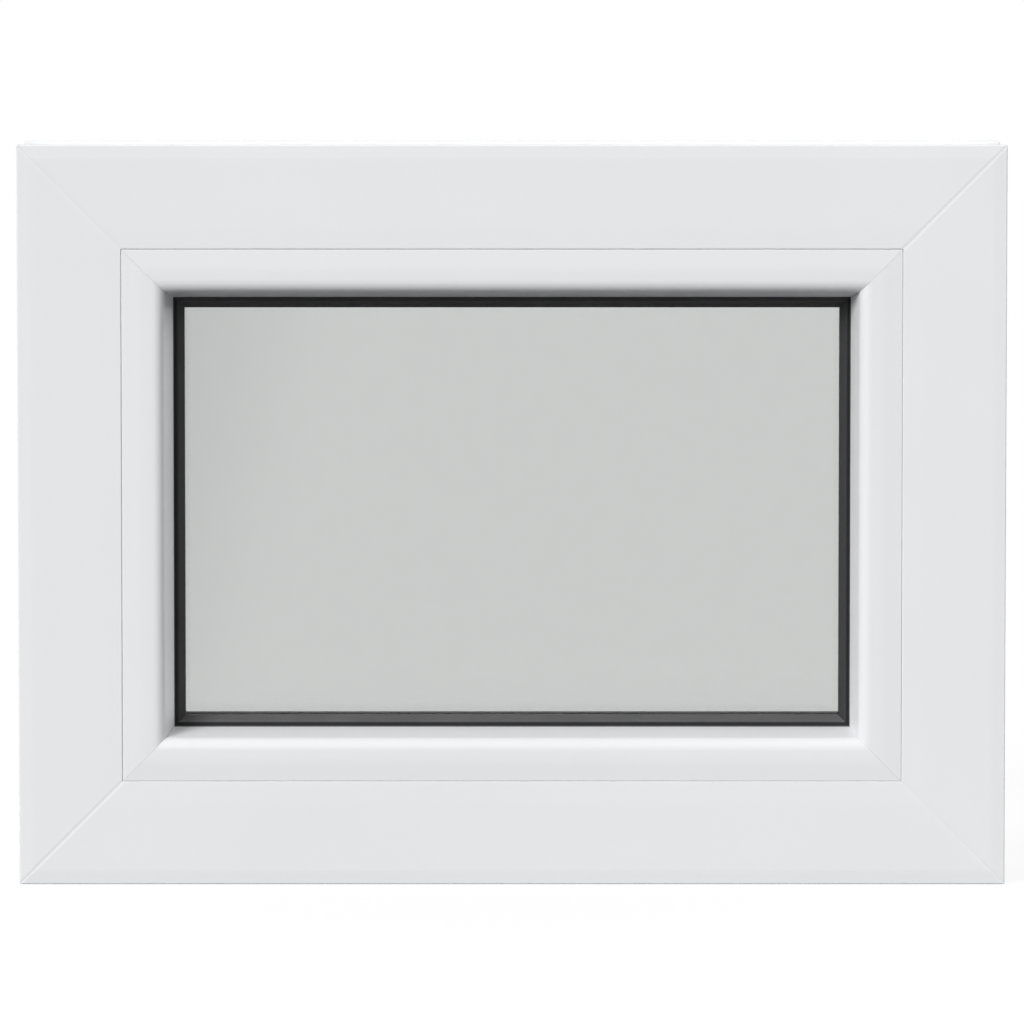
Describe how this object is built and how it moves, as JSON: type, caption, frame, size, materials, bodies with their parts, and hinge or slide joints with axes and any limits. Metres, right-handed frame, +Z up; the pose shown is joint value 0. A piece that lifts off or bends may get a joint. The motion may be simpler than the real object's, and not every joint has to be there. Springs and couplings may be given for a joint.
{
  "type": "basement window",
  "caption": "Small fixed double-glazed basement window: white mitred plastic frame, rounded glazing beads, black gaskets and clear grey glass.",
  "frame": {"origin": "bottom centre of the whole window, drain hoods included, on the level the sill stands on", "axes": "+X along the width to the right seen from the room, +Y from the room to the outside, +Z up"},
  "size_m": [0.4, 0.074, 0.3],
  "materials": {
    "frame_plastic": "smooth white extruded plastic, satin gloss",
    "bead_plastic": "smooth white extruded plastic, satin gloss",
    "gasket_rubber": "black, matt",
    "spacer_metal": "mill finish",
    "pane_glass": "clear float glass with a light grey tone",
    "block_plastic": "moulded, matt",
    "cap_plastic": "moulded white plastic, satin gloss"
  },
  "bodies": {
    "root": {"frame_head": "frame_plastic", "frame_sill": "frame_plastic", "frame_left_jamb": "frame_plastic", "frame_right_jamb": "frame_plastic", "glazing_bead_top": "bead_plastic", "glazing_bead_bottom": "bead_plastic", "glazing_bead_left": "bead_plastic", "glazing_bead_right": "bead_plastic", "bead_gasket_top": "gasket_rubber", "bead_gasket_bottom": "gasket_rubber", "bead_gasket_left": "gasket_rubber", "bead_gasket_right": "gasket_rubber", "rebate_gasket_top": "gasket_rubber", "rebate_gasket_bottom": "gasket_rubber", "rebate_gasket_left": "gasket_rubber", "rebate_gasket_right": "gasket_rubber", "spacer_bar_top": "spacer_metal", "spacer_bar_bottom": "spacer_metal", "spacer_bar_left": "spacer_metal", "spacer_bar_right": "spacer_metal", "inner_pane": "pane_glass", "outer_pane": "pane_glass", "setting_block_left": "block_plastic", "setting_block_right": "block_plastic", "drain_cap_left": "cap_plastic", "drain_cap_right": "cap_plastic"}
  },
  "joints": []
}
